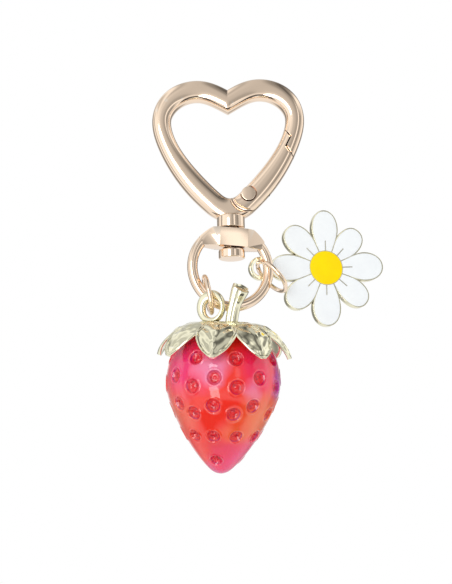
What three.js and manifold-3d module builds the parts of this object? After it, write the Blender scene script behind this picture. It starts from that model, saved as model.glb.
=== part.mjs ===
// Heart clasp keychain with a strawberry charm and an enamelled daisy charm, hanging as it is worn.
// Millimetres. +Z runs up the length, +X to the right as seen from the front, and the front faces -Y.
// The origin is the middle of the heart's opening, the place where it hangs.
import * as THREE from 'three';
import { mergeVertices } from 'three/addons/utils/BufferGeometryUtils.js';
import Module from 'manifold-3d';

const wasm = await Module();
wasm.setup();

// ---------- Driving dimensions ----------

const clearance = 0.1;
const farAway = 40;

// Heart clasp. The bar's section is a rounded oval: half its width at the sides, at the lobes and at the
// point, half its front-to-back size, and the power that sets how square it is.
const bar = { sideHalf: 2.15, lobeHalf: 2.42, pointHalf: 2.62, depthHalf: 2.3, roundness: 2.6, sides: 18 };

// Right half of the heart's middle line, from the cleft to the point: each stretch is a cubic curve.
const cleft = [0, 11.1];
const heartStretches = [
  { handles: [[2.4, 12.6], [4.6, 13.85]], end: [7.0, 13.85], steps: 5 },
  { handles: [[11.4, 13.85], [14.95, 10.6]], end: [14.95, 6.6], steps: 8 },
  { handles: [[14.95, 1.5], [10.0, -6.6]], end: [3.4, -12.6], steps: 10 },
  { handles: [[2.2, -13.6], [1.1, -13.95]], end: [0, -13.95], steps: 3 },
];
// The middle line runs on past the plane of symmetry by this much, so that the two halves join squarely.
const runOn = { side: 3, drop: 1.9 };

// Gate: the lower right limb, hinged on a rivet near the point and closing on a hooked seam.
const rivetCentre = [4.09, -10.75];
const seam = [[12.52, 4.04], [13.88, 2.25], [12.77, 0.12], [14.36, -2.47]];
// Corners of the gate's outline that run clear of the bar: off the seam's two ends, outside and inside
// the limb, and off the rivet to either side of the knuckle.
const gateClear = { inner: [-0.75, 1.0], outer: [1.1, -1.8], outside: [13.4, -9.0], inside: [6.0, -2.0] };
const knuckleClear = [2.6, -2.9];
const knuckle = { radius: 3.85, tongueRadius: 4.5, slotRadius: 4.75, tongueHalf: 0.9, slotHalf: 1.02 };
const rivet = { shank: 0.85, head: 1.65, headBottom: 1.75, headTop: 2.3 };
const rivetSeat = { radius: 1.88, floor: 1.62 };
const springBore = { radius: 0.8, angle: 40, from: 4.5, to: 9.5 };
const spring = { coil: 0.52, wire: 0.14, turns: 5, from: 4.8, to: 9.2 };

// Swivel: a collar under the heart's point, a headed stud, and the ring that turns on it.
const collar = { radius: 2.85, top: -15.4, bottom: -18.2 };
const stud = { shank: 1.45, head: 2.92, top: -14.9, headTop: -23.05, bottom: -25.1 };
const ring = { radius: 8.65, wire: 1.15, centre: -27.2, tilt: 3, spin: 14.5 };
const bridge = { top: -18.55, bottom: -22.65, halfDepth: 2.6, flatHalf: 3.2, endHalf: 7.4, bore: 1.75 };

// Jump rings, each seen almost edge on: centre, the direction of its long way, and its lean.
const charmLink = {
  centre: [-5.43, -2.95, -33.65],
  along: [0.178, -0.984],
  lean: 0.07,
  radius: 4.0,
  wire: 0.55,
};
const daisyLink = {
  centre: [8.73, 2.55, -28.68],
  along: [0.694, -0.72],
  lean: 0.225,
  radius: 4.2,
  wire: 0.5,
};

// Strawberry: its own frame has its origin at the middle of the cap's top, with the fruit below.
// It leans to one side, and its cap is pitched towards the front.
const berry = { place: [-1.86, -5.21, -40.24], lean: 3.2, pitch: 11, top: -1.35 };
// The fruit's outline, from the edge of its flat top to its tip, as radius and height in cubic curves.
const berryShoulder = 4.62;
const berryStretches = [
  { handles: [[8.6, -1.35], [12.45, -6.3]], end: [12.45, -13.4], steps: 8 },
  { handles: [[12.45, -18.0], [7.0, -27.5]], end: [2.6, -31.6], steps: 9 },
  { handles: [[1.7, -32.4], [0.9, -32.75]], end: [0, -32.75], steps: 3 },
];
const peg = { radius: 1.3, top: -0.9, bottom: -9.0, holeRadius: 1.42, holeBottom: -9.3 };
const cap = { sepals: 8, firstSepal: -10, thickness: 0.95, hub: 6.2, hubTop: 0.05, hubBottom: -1.1 };
const stem = {
  base: [1.35, -0.4, -0.5],
  middle: [1.55, -0.4, 3.6],
  tip: [3.3, -1.3, 7.2],
  radius: 1.45,
  flare: 2.1,
};
const loop = {
  centre: [-3.1, 0.95, 3.2],
  outer: [3.2, 3.7],
  hole: [2.0, 2.25],
  holeAt: [0.25, -0.6],
  halfDepth: 1.0,
  turn: -20,
};

// Daisy: its own frame has its origin at the flower's centre, with the front facing -Y.
const daisy = { place: [21.05, 8.25, -25.9], turn: 16.5, thickness: 1.5, pocket: 0.45, rim: 0.4 };
const petals = [
  { angle: 90, length: 13.4, half: 3.15 },
  { angle: 47, length: 12.1, half: 2.95 },
  { angle: 4, length: 13.8, half: 3.35 },
  { angle: -40, length: 12.3, half: 3.05 },
  { angle: -91, length: 13.4, half: 3.35 },
  { angle: -135, length: 12.8, half: 3.15 },
  { angle: -178, length: 13.1, half: 3.1 },
  { angle: 136, length: 12.6, half: 3.2 },
];
const petalBase = { reach: 4.15, half: 1.25 };
const disc = { enamel: 3.7, web: 7.7 };
const eyelet = { centre: [-15.45, -0.7], outer: 2.65, hole: 1.8 };

// ---------- Small helpers ----------

const degrees = THREE.MathUtils.degToRad;
const smooth = THREE.MathUtils.smoothstep;

function toSolid(geometry) {
  const plain = geometry.clone();
  plain.deleteAttribute('normal');
  plain.deleteAttribute('uv');
  const merged = mergeVertices(plain, 1e-4);
  const vertProperties = new Float32Array(merged.attributes.position.array);
  const triVerts = new Uint32Array(merged.index.array);
  return new wasm.Manifold(new wasm.Mesh({ numProp: 3, vertProperties, triVerts }));
}

function toGeometry(solid) {
  const mesh = solid.getMesh();
  const geometry = new THREE.BufferGeometry();
  geometry.setAttribute('position', new THREE.BufferAttribute(mesh.vertProperties, 3));
  geometry.setIndex(new THREE.BufferAttribute(mesh.triVerts, 1));
  geometry.computeVertexNormals();
  return geometry;
}

function joinAll(solids) {
  return solids.reduce((whole, piece) => whole.add(piece));
}

// A flat outline in X and Z, given thickness along Y from back to front.
function slab(shape, front, back, curveSegments = 8) {
  const depth = back - front;
  const geometry = new THREE.ExtrudeGeometry(shape, { depth, bevelEnabled: false, curveSegments });
  geometry.rotateX(Math.PI / 2);
  geometry.translate(0, back, 0);
  return geometry;
}

function polygon(points) {
  return new THREE.Shape(points.map(([x, z]) => new THREE.Vector2(x, z)));
}

function circle(x, z, radius) {
  const shape = new THREE.Shape();
  shape.absarc(x, z, radius, 0, 2 * Math.PI);
  return shape;
}

// A round pin along Y through a point of the XZ plane.
function crossPin(x, z, radius, front, back, segments = 24) {
  const geometry = new THREE.CylinderGeometry(radius, radius, back - front, segments);
  geometry.translate(x, (front + back) / 2, z);
  return geometry;
}

// A round solid about Z from a profile of radius and height pairs that starts and ends on the axis.
function turned(profile, segments) {
  const points = profile.map(([radius, z]) => new THREE.Vector2(radius, z));
  const geometry = new THREE.LatheGeometry(points, segments);
  geometry.rotateX(Math.PI / 2);
  return geometry;
}

function material(color, roughness, metalness) {
  return new THREE.MeshStandardMaterial({ color, roughness, metalness });
}

// A closed skin from equal rings of points, with a fan over each end.
function skin(rings) {
  const count = rings[0].length;
  const positions = rings.flat().flatMap((point) => point.toArray());
  const centres = [rings[0], rings[rings.length - 1]].map((points) => points
    .reduce((sum, point) => sum.add(point), new THREE.Vector3())
    .divideScalar(count));
  centres.forEach((centre) => positions.push(...centre.toArray()));
  const index = [];
  for (let row = 0; row < rings.length - 1; row += 1) {
    for (let i = 0; i < count; i += 1) {
      const next = (i + 1) % count;
      const a = row * count + i;
      const b = row * count + next;
      index.push(a, b, b + count, a, b + count, a + count);
    }
  }
  const first = rings.length * count;
  const lastRow = (rings.length - 1) * count;
  for (let i = 0; i < count; i += 1) {
    const next = (i + 1) % count;
    index.push(first, next, i);
    index.push(first + 1, lastRow + i, lastRow + next);
  }
  const geometry = new THREE.BufferGeometry();
  geometry.setAttribute('position', new THREE.BufferAttribute(new Float32Array(positions), 3));
  geometry.setIndex(index);
  return geometry;
}

// ---------- Heart clasp ----------

// Points and directions along the middle line of the heart's right half.
function heartStations() {
  const point = ([x, z]) => new THREE.Vector2(x, z);
  const stations = [];
  const lay = (piece, steps, from) => {
    for (let i = from; i <= steps; i += 1) {
      stations.push([piece.getPoint(i / steps), piece.getTangent(i / steps)]);
    }
  };
  lay(new THREE.LineCurve(point([-runOn.side, cleft[1] - runOn.drop]), point(cleft)), 1, 0);
  let start = cleft;
  heartStretches.forEach(({ handles, end, steps }) => {
    lay(new THREE.CubicBezierCurve(point(start), ...handles.map(point), point(end)), steps, 1);
    start = end;
  });
  lay(new THREE.LineCurve(point(start), point([-runOn.side, start[1]])), 1, 1);
  return stations;
}

function barHalfWidth(z) {
  const lobe = (bar.lobeHalf - bar.sideHalf) * smooth(z, 7, 13);
  const point = (bar.pointHalf - bar.sideHalf) * (1 - smooth(z, -10, 3));
  return bar.sideHalf + lobe + point;
}

function barRing(centre, tangent) {
  const across = new THREE.Vector3(-tangent.y, 0, tangent.x);
  const half = barHalfWidth(centre.y);
  const ringPoints = [];
  for (let i = 0; i < bar.sides; i += 1) {
    const angle = (-2 * Math.PI * (i + 0.5)) / bar.sides;
    const bulge = (value) => Math.sign(value) * Math.abs(value) ** (2 / bar.roundness);
    const point = new THREE.Vector3(centre.x, 0, centre.y);
    point.addScaledVector(across, half * bulge(Math.cos(angle)));
    point.y = bar.depthHalf * bulge(Math.sin(angle));
    ringPoints.push(point);
  }
  return ringPoints;
}

function heartSolid() {
  const rings = heartStations().map(([centre, tangent]) => barRing(centre, tangent));
  const overlap = 0.02;
  const rightHalf = new THREE.BoxGeometry(farAway, farAway, 2 * farAway);
  rightHalf.translate(farAway / 2 - overlap, 0, 0);
  const right = toSolid(skin(rings)).intersect(toSolid(rightHalf));
  return right.add(right.mirror([1, 0, 0]));
}

// The space that the gate takes out of the heart, grown all round by a gap.
function gateSpace(grow) {
  const [x, z] = rivetCentre;
  const shifted = seam.map(([sx, sz]) => [sx + grow * 0.8, sz + grow * 0.6]);
  const [innerEnd, , , outerEnd] = shifted;
  const [aside, below] = knuckleClear;
  const outline = [
    [innerEnd[0] + gateClear.inner[0], innerEnd[1] + gateClear.inner[1]],
    ...shifted,
    [outerEnd[0] + gateClear.outer[0], outerEnd[1] + gateClear.outer[1]],
    gateClear.outside,
    [x + aside, z + below],
    [x, z],
    [x - aside, z - below],
    gateClear.inside,
  ];
  const limb = toSolid(slab(polygon(outline), -farAway / 4, farAway / 4));
  const end = toSolid(crossPin(x, z, knuckle.radius + grow, -farAway / 4, farAway / 4, 40));
  return limb.add(end);
}

function knuckleDisc(radius, half) {
  const [x, z] = rivetCentre;
  return toSolid(crossPin(x, z, radius, -half, half, 40));
}

function heartFrame(heart) {
  const tongue = heart.intersect(knuckleDisc(knuckle.tongueRadius, knuckle.tongueHalf));
  const collarSolid = toSolid(turned([
    [0, collar.bottom],
    [collar.radius - 0.2, collar.bottom],
    [collar.radius, collar.bottom + 0.2],
    [collar.radius, collar.top - 0.3],
    [collar.radius - 0.25, collar.top],
    [0, collar.top],
  ], 32));
  const studHole = new THREE.CylinderGeometry(stud.shank + clearance, stud.shank + clearance, 10, 24);
  studHole.rotateX(Math.PI / 2);
  studHole.translate(0, 0, stud.top + clearance - 5);
  const [x, z] = rivetCentre;
  const rivetHole = toSolid(crossPin(x, z, rivet.shank + clearance, -3, 3));
  return heart.subtract(gateSpace(clearance))
    .add(tongue)
    .add(collarSolid)
    .subtract(toSolid(studHole))
    .subtract(rivetHole);
}

function gateSolid(heart) {
  const [x, z] = rivetCentre;
  const seats = [-1, 1].map((side) => {
    const near = side * rivetSeat.floor;
    const far = side * 4;
    return toSolid(crossPin(x, z, rivetSeat.radius, Math.min(near, far), Math.max(near, far), 28));
  });
  const { radius, from, to } = springBore;
  const bore = new THREE.CylinderGeometry(radius, radius, to - from, 14);
  bore.translate(0, (from + to) / 2, 0);
  placeAlongGate(bore);
  return heart.intersect(gateSpace(-clearance))
    .subtract(knuckleDisc(knuckle.slotRadius, knuckle.slotHalf))
    .subtract(toSolid(crossPin(x, z, rivet.shank + clearance, -3, 3)))
    .subtract(joinAll(seats))
    .subtract(toSolid(bore));
}

// Turns a shape made along Y so that it runs from the rivet up the inside of the gate.
function placeAlongGate(geometry) {
  geometry.rotateX(Math.PI / 2);
  geometry.rotateY(degrees(90 - springBore.angle));
  geometry.translate(rivetCentre[0], 0, rivetCentre[1]);
}

function springGeometry() {
  class Helix extends THREE.Curve {
    getPoint(t, target = new THREE.Vector3()) {
      const angle = 2 * Math.PI * spring.turns * t;
      const along = THREE.MathUtils.lerp(spring.from + spring.wire, spring.to - spring.wire, t);
      return target.set(spring.coil * Math.cos(angle), along, spring.coil * Math.sin(angle));
    }
  }
  const section = new THREE.Shape();
  section.absarc(0, 0, spring.wire, 0, 2 * Math.PI);
  const geometry = new THREE.ExtrudeGeometry(section, {
    steps: spring.turns * 8,
    curveSegments: 3,
    extrudePath: new Helix(),
  });
  placeAlongGate(geometry);
  return geometry;
}

function rivetGeometry() {
  const { shank, head, headBottom, headTop } = rivet;
  const profile = [
    [0, -headTop],
    [head - 0.35, -headTop],
    [head, -headTop + 0.25],
    [head, -headBottom],
    [shank, -headBottom],
    [shank, headBottom],
    [head, headBottom],
    [head, headTop - 0.25],
    [head - 0.35, headTop],
    [0, headTop],
  ];
  const geometry = turned(profile, 24);
  geometry.rotateX(Math.PI / 2);
  geometry.translate(rivetCentre[0], 0, rivetCentre[1]);
  return geometry;
}

// ---------- Swivel ----------

function studGeometry() {
  const { shank, head, top, headTop, bottom } = stud;
  return turned([
    [0, bottom],
    [head - 0.3, bottom],
    [head, bottom + 0.3],
    [head, headTop - 0.15],
    [head - 0.15, headTop],
    [shank, headTop],
    [shank, top],
    [0, top],
  ], 32);
}

function swivelRing() {
  const wire = new THREE.TorusGeometry(ring.radius, ring.wire, 12, 56);
  wire.rotateX(Math.PI / 2);
  wire.translate(0, 0, ring.centre);
  const segment = toSolid(crossPin(0, ring.centre, ring.radius + ring.wire, -farAway, farAway, 56));
  const band = new THREE.BoxGeometry(2 * farAway, 2 * farAway, bridge.top - bridge.bottom);
  band.translate(0, 0, (bridge.top + bridge.bottom) / 2);
  const { flatHalf, endHalf, halfDepth } = bridge;
  const cheek = 0.75 * ring.wire;
  const plan = new THREE.ExtrudeGeometry(polygon([
    [-flatHalf, -halfDepth], [flatHalf, -halfDepth], [endHalf, -cheek], [endHalf, cheek],
    [flatHalf, halfDepth], [-flatHalf, halfDepth], [-endHalf, cheek], [-endHalf, -cheek],
  ]), { depth: 2 * farAway, bevelEnabled: false });
  plan.translate(0, 0, -2 * farAway);
  const block = segment.intersect(toSolid(band)).intersect(toSolid(plan));
  const above = new THREE.BoxGeometry(farAway, farAway, farAway);
  above.translate(0, 0, bridge.top + farAway / 2);
  const bore = new THREE.CylinderGeometry(bridge.bore, bridge.bore, 12, 24);
  bore.rotateX(Math.PI / 2);
  bore.translate(0, 0, (bridge.top + bridge.bottom) / 2);
  return toSolid(wire).add(block).subtract(toSolid(above)).subtract(toSolid(bore));
}

// ---------- Jump rings ----------

// A wire ring in the plane of its long way and a direction close to front-to-back.
function jumpRing(link) {
  const geometry = new THREE.TorusGeometry(link.radius, link.wire, 8, 36);
  const along = new THREE.Vector3(link.along[0], 0, link.along[1]).normalize();
  const sideways = new THREE.Vector3(-along.z, 0, along.x);
  const forward = new THREE.Vector3(0, -1, 0).addScaledVector(sideways, link.lean).normalize();
  const axis = new THREE.Vector3().crossVectors(along, forward);
  geometry.applyMatrix4(new THREE.Matrix4().makeBasis(along, forward, axis));
  geometry.translate(...link.centre);
  return geometry;
}

// ---------- Strawberry ----------

function berryGeometry() {
  const point = ([radius, z]) => new THREE.Vector2(radius, z);
  let start = [berryShoulder, berry.top];
  const profile = [
    point([0, peg.holeBottom]),
    point([peg.holeRadius, peg.holeBottom]),
    point([peg.holeRadius, berry.top]),
    point(start),
  ];
  berryStretches.forEach(({ handles, end, steps }) => {
    const stretch = new THREE.CubicBezierCurve(point(start), ...handles.map(point), point(end));
    profile.push(...stretch.getPoints(steps).slice(1));
    start = end;
  });
  const geometry = new THREE.LatheGeometry(profile.reverse(), 32);
  geometry.rotateX(Math.PI / 2);
  return geometry;
}

// Middle line of a sepal from the hub outwards, as radius and height.
const sepalLine = new THREE.CatmullRomCurve3([
  new THREE.Vector3(2.0, 0, -0.5),
  new THREE.Vector3(7.2, 0, -0.6),
  new THREE.Vector3(10.0, 0, -1.6),
  new THREE.Vector3(12.1, 0, -3.4),
  new THREE.Vector3(13.6, 0, -5.6),
  new THREE.Vector3(14.3, 0, -7.5),
]);

function sepalHalfWidth(t) {
  const base = 3.0 + 1.3 * smooth(t, 0, 0.4);
  return base * (1 - smooth(t, 0.38, 1.08)) + 0.15;
}

function sepalSolid() {
  const steps = 8;
  const rings = [];
  for (let i = 0; i <= steps; i += 1) {
    const t = i / steps;
    const centre = sepalLine.getPoint(t);
    const tangent = sepalLine.getTangent(t);
    const up = new THREE.Vector3(-tangent.z, 0, tangent.x);
    const half = sepalHalfWidth(t);
    const droop = 0.045 * half * half * smooth(t, 0.05, 0.3);
    const rise = cap.thickness / 2;
    const place = (across, lift) => new THREE.Vector3(centre.x, across, centre.z).addScaledVector(up, lift);
    rings.push([
      place(-half, -rise - droop),
      place(0, -rise),
      place(half, -rise - droop),
      place(half, rise - droop),
      place(0, rise),
      place(-half, rise - droop),
    ]);
  }
  return toSolid(skin(rings));
}

function stemSolid() {
  const points = [stem.base, stem.middle, stem.tip].map((place) => new THREE.Vector3(...place));
  const line = new THREE.QuadraticBezierCurve3(...points);
  const steps = 7;
  const sides = 10;
  const rings = [];
  for (let i = 0; i <= steps; i += 1) {
    const t = i / steps;
    const centre = line.getPoint(t);
    const tangent = line.getTangent(t);
    const side = new THREE.Vector3(0, 1, 0);
    const across = new THREE.Vector3().crossVectors(tangent, side);
    const radius = THREE.MathUtils.lerp(stem.radius, stem.flare, smooth(t, 0.45, 1));
    const points = [];
    for (let k = 0; k < sides; k += 1) {
      const angle = (2 * Math.PI * k) / sides;
      points.push(centre.clone()
        .addScaledVector(side, radius * 0.9 * Math.cos(angle))
        .addScaledVector(across, radius * Math.sin(angle)));
    }
    rings.push(points);
  }
  return toSolid(skin(rings));
}

function loopSolid() {
  const outer = new THREE.Shape();
  outer.absellipse(0, 0, ...loop.outer, 0, 2 * Math.PI);
  const hole = new THREE.Path();
  hole.absellipse(...loop.holeAt, ...loop.hole, 0, 2 * Math.PI);
  outer.holes.push(hole);
  const geometry = slab(outer, -loop.halfDepth, loop.halfDepth, 24);
  geometry.rotateZ(degrees(loop.turn));
  // The loop itself hangs upright: it is turned back against the pitch, about its hole.
  const [holeX, holeZ] = loop.holeAt;
  geometry.translate(-holeX, 0, -holeZ);
  geometry.rotateX(degrees(-berry.pitch));
  geometry.translate(loop.centre[0] + holeX, loop.centre[1], loop.centre[2] + holeZ);
  return toSolid(geometry);
}

function calyxCap() {
  const sepal = sepalSolid();
  const sepals = [];
  for (let i = 0; i < cap.sepals; i += 1) {
    const fromFront = cap.firstSepal + (i * 360) / cap.sepals;
    sepals.push(sepal.rotate([0, 0, fromFront - 90]));
  }
  const hub = turned([
    [0, cap.hubBottom],
    [cap.hub, cap.hubBottom],
    [cap.hub, cap.hubTop - 0.5],
    [cap.hub - 1.5, cap.hubTop],
    [0, cap.hubTop],
  ], 24);
  const pegHole = new THREE.CylinderGeometry(peg.holeRadius, peg.holeRadius, 4, 20);
  pegHole.rotateX(Math.PI / 2);
  pegHole.translate(0, 0, peg.top + clearance - 2);
  return joinAll([toSolid(hub), ...sepals, stemSolid(), loopSolid()]).subtract(toSolid(pegHole));
}

// ---------- Daisy ----------

// One petal, with its axis along X, drawn smaller all round by the inset.
function petalShape({ length, half }, inset) {
  const baseX = petalBase.reach + inset;
  const baseHalf = petalBase.half - 0.6 * inset;
  const tip = length - inset;
  const side = half - inset;
  const widest = 0.68 * length;
  const shape = new THREE.Shape();
  const curve = (x1, z1, x2, z2, x, z) => shape.bezierCurveTo(x1, z1, x2, z2, x, z);
  shape.moveTo(baseX, -baseHalf);
  curve(baseX + 1.8, -baseHalf - 0.9, widest - 2.0, -side, widest, -side);
  curve(widest + 2.3, -side, tip, -0.62 * side, tip, 0);
  curve(tip, 0.62 * side, widest + 2.3, side, widest, side);
  curve(widest - 2.0, side, baseX + 1.8, baseHalf + 0.9, baseX, baseHalf);
  shape.closePath();
  return shape;
}

// Front of the plate is at the frame's own -Y side; y runs back from the plate's middle plane.
const plateFront = -daisy.thickness / 2;
const plateBack = daisy.thickness / 2;

function turnedPetal(petal, inset, front, back) {
  const geometry = slab(petalShape(petal, inset), front, back, 5);
  geometry.rotateY(degrees(-petal.angle));
  return geometry;
}

function daisyPlate() {
  const blanks = petals.map((petal) => toSolid(turnedPetal(petal, 0, plateFront, plateBack)));
  const web = toSolid(slab(circle(0, 0, disc.web), plateFront + 0.05, plateBack - 0.01, 20));
  const [x, z] = eyelet.centre;
  const tab = toSolid(slab(circle(x, z, eyelet.outer), plateFront, plateBack, 14));
  const hole = toSolid(slab(circle(x, z, eyelet.hole), -farAway, farAway, 12));
  const pockets = petals.map((petal) => (
    toSolid(turnedPetal(petal, daisy.rim, plateFront - 1, plateFront + daisy.pocket))));
  const middle = toSolid(slab(circle(0, 0, disc.enamel), plateFront - 1, plateFront + daisy.pocket, 14));
  return joinAll([...blanks, web, tab]).subtract(hole).subtract(joinAll(pockets)).subtract(middle);
}

const enamelFront = plateFront - 0.02;
const enamelBack = plateFront + daisy.pocket - clearance;

function petalEnamel(petal) {
  return turnedPetal(petal, daisy.rim + clearance, enamelFront, enamelBack);
}

function centreEnamel() {
  return slab(circle(0, 0, disc.enamel - clearance), enamelFront, enamelBack, 14);
}

// ---------- Assembly ----------

const roseGold = () => material(0xd9b9a0, 0.18, 1);
const paleGold = () => material(0xd8cfa2, 0.2, 1);
const steel = () => material(0xb9bcc0, 0.35, 1);
const acrylic = () => material(0xf0344e, 0.1, 0);
const whiteEnamel = () => material(0xf7fbff, 0.15, 0);
const yellowEnamel = () => material(0xffd91a, 0.2, 0);

function add(group, name, geometry, finish) {
  const mesh = new THREE.Mesh(geometry, finish);
  mesh.name = name;
  group.add(mesh);
  return mesh;
}

const keychain = new THREE.Group();

const heart = heartSolid();
add(keychain, 'heart_frame', toGeometry(heartFrame(heart)), roseGold());
add(keychain, 'gate', toGeometry(gateSolid(heart)), roseGold());
add(keychain, 'gate_rivet', rivetGeometry(), roseGold());
add(keychain, 'gate_spring', springGeometry(), steel());
add(keychain, 'swivel_stud', studGeometry(), roseGold());

// The ring sags a little on the stud's head, and has turned a little way round it.
const swivelPlace = new THREE.Group();
swivelPlace.rotation.z = degrees(ring.spin);
const swivelSag = new THREE.Group();
swivelSag.position.z = (bridge.top + bridge.bottom) / 2;
swivelSag.rotation.y = degrees(ring.tilt);
swivelPlace.add(swivelSag);
add(swivelSag, 'swivel_ring', toGeometry(swivelRing()), roseGold()).position.z = -swivelSag.position.z;
keychain.add(swivelPlace);

add(keychain, 'charm_jump_ring', jumpRing(charmLink), roseGold());
add(keychain, 'daisy_jump_ring', jumpRing(daisyLink), roseGold());

const strawberry = new THREE.Group();
strawberry.position.set(...berry.place);
strawberry.rotation.set(degrees(berry.pitch), degrees(berry.lean), 0);
add(strawberry, 'calyx_cap', toGeometry(calyxCap()), paleGold());
const pegShape = turned([[0, peg.bottom], [peg.radius, peg.bottom], [peg.radius, peg.top], [0, peg.top]], 20);
add(strawberry, 'cap_peg', pegShape, steel());
add(strawberry, 'strawberry_body', berryGeometry(), acrylic());
keychain.add(strawberry);

const flower = new THREE.Group();
flower.position.set(...daisy.place);
flower.rotation.z = degrees(daisy.turn);
add(flower, 'daisy_plate', toGeometry(daisyPlate()), paleGold());
petals.forEach((petal, i) => add(flower, `petal_enamel_${i + 1}`, petalEnamel(petal), whiteEnamel()));
add(flower, 'centre_enamel', centreEnamel(), yellowEnamel());
keychain.add(flower);

export default keychain;
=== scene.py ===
"""Looks of the heart clasp keychain with its strawberry and daisy charms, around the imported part.

Shapes are worked out in millimetres in the part's own frame, +Z up and the front facing -Y, and each
finished piece is scaled to metres when it is hung on its body.
"""

from math import copysign, cos, degrees, exp, pi, radians, sin, tan

import bmesh
import bpy
import numpy as np
from mathutils import Matrix, Quaternion, Vector, noise


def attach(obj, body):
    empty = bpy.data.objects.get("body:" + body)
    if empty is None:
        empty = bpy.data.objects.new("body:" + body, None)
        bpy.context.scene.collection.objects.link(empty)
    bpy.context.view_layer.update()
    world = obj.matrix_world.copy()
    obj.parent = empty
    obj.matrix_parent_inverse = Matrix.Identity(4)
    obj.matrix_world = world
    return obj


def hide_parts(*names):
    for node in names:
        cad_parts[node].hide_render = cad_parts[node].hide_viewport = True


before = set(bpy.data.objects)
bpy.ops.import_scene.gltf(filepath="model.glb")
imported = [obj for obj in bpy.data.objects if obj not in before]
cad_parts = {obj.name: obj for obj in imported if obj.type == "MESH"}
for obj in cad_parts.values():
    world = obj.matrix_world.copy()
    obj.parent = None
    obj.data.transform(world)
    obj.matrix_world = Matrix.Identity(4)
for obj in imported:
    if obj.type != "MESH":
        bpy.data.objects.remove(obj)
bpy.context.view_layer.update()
scene = bpy.context.scene

# ---------- Driving dimensions, millimetres and degrees ----------

MM = 0.001
# The gap round what moves or fits, and a hair's breadth that keeps faces from lying on each other.
CLEARANCE = 0.1
HAIR = 0.01
# How far the bridge's bore runs on past the bridge, and how far the tools that trim the ring reach.
OVERRUN = 4
BEYOND = 20

# Heart clasp: half widths of the bar at the sides, lobes and point, half its depth, and its squareness.
BAR = {"side": 2.15, "lobe": 2.42, "point": 2.62, "depth": 2.3, "roundness": 2.6}
CLEFT = (0, 11.1)
# How far the bar's line runs on past the middle plane, and how far it falls there at the cleft.
RUN_ON = {"across": 3, "fall": 1.9}
HEART_STRETCHES = (
    ((2.4, 12.6), (4.6, 13.85), (7.0, 13.85)),
    ((11.4, 13.85), (14.95, 10.6), (14.95, 6.6)),
    ((14.95, 1.5), (10.0, -6.6), (3.4, -12.6)),
    ((2.2, -13.6), (1.1, -13.95), (0, -13.95)),
)
RIVET_CENTRE = (4.09, -10.75)
SEAM = ((12.52, 4.04), (13.88, 2.25), (12.77, 0.12), (14.36, -2.47))
SEAM_WAY = (0.8, 0.6)
SEAM_BEVEL = 0.28
# The gate's outline away from the seam: steps from the seam's ends, places outside and inside the heart, and
# half of its width across the rivet.
GATE = {"inner": (-0.75, 1.0), "outer": (1.1, -1.8), "outside": (13.4, -9.0), "inside": (6.0, -2.0)}
GATE_ROOT = (2.6, -2.9)
KNUCKLE = {"radius": 3.85, "tongue": 4.5, "slot": 4.75, "tongue_half": 0.9, "slot_half": 1.02}
GROOVE = {"start": 150, "sweep": 130, "width": 0.62, "depth": 0.72, "out": 0.05, "proud": 0.1}
RIVET = {"shank": 0.85, "head": 1.6, "under": 1.75, "top": 2.3, "hole_half": 3, "rounding": 0.16}
RIVET_SEAT = {"radius": 1.88, "floor": 1.62, "top": 4}
SPRING = {"angle": 40, "coil": 0.52, "wire": 0.14, "turns": 5, "start": 4.8, "end": 9.2}
SPRING_BORE = {"radius": 0.8, "start": 4.5, "end": 9.5}

# Swivel: collar, headed stud, and the ring with its bridge.
COLLAR = {"radius": 3.1, "top": -15.4, "bottom": -18.2, "rounding": 0.3}
STUD = {"shank": 1.45, "head": 2.92, "top": -14.9, "head_top": -23.05, "bottom": -25.1}
STUD_HOLE_LENGTH = 9
STUD_ROUNDING = 0.42
RING = {"radius": 8.65, "wire": 1.15, "centre": -27.2, "tilt": 3, "spin": 14.5}
BRIDGE = {"top": -18.55, "bottom": -22.65, "half_depth": 2.6, "flat": 3.2, "end": 7.4, "bore": 1.75}
BRIDGE_CHEEK = 0.75 * RING["wire"]
BRIDGE_BEVEL = 0.16

# Jump rings: centre, the way that each is long, its lean, ring radius, wire radius, and where it is split.
CHARM_LINK = {
    "centre": (-5.43, -2.95, -33.65), "along": (0.178, -0.984), "lean": 0.07,
    "radius": 4.0, "wire": 0.55, "split": 150,
}
DAISY_LINK = {
    "centre": (8.73, 2.55, -28.68), "along": (0.694, -0.72), "lean": 0.225,
    "radius": 4.2, "wire": 0.5, "split": 200,
}
# Half of the split, in degrees, and the shares of the wire's radius at its rounded ends.
LINK_GAP = 0.7
LINK_ENDS = (0.82, 0.96)

# Strawberry, in a frame of its own at the middle of the cap's top.
BERRY = {"place": (-1.86, -5.21, -40.24), "lean": 3.2, "pitch": 11, "top": -1.35, "shoulder": 4.62}
BERRY_STRETCHES = (
    ((8.6, -1.35), (12.45, -6.3), (12.45, -13.4)),
    ((12.45, -18.0), (7.0, -27.5), (2.6, -31.6)),
    ((1.7, -32.4), (0.9, -32.75), (0, -32.75)),
)
PEG = {"radius": 1.3, "top": -0.9, "bottom": -9.0, "hole": 1.42, "hole_bottom": -9.3, "cap_hole_bottom": -4}
THREAD = {"count": 11, "root": 0.22, "point": 0.35, "end": 0.3}
PIT = {"radius": 1.15, "spread": 0.04, "depth": 1.0, "seed": 0.42, "seed_rise": 0.34}
PIT_LIP = {"rise": 0.13, "place": 1.1, "width": 0.09}
# Rows of pits: height, how many go round, and where the ones on the front lie, from straight ahead.
PIT_ROWS = (
    (-7.5, 7, (-31, 13)),
    (-11.6, 7, (-56, -9, 39)),
    (-13.5, 7, (-32, 14)),
    (-17.5, 7, (-53, -10, 34)),
    (-19.3, 7, (-34, 13)),
    (-24.1, 10, (-44, -12, 22)),
    (-29.5, 3, (-13,)),
)
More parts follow.
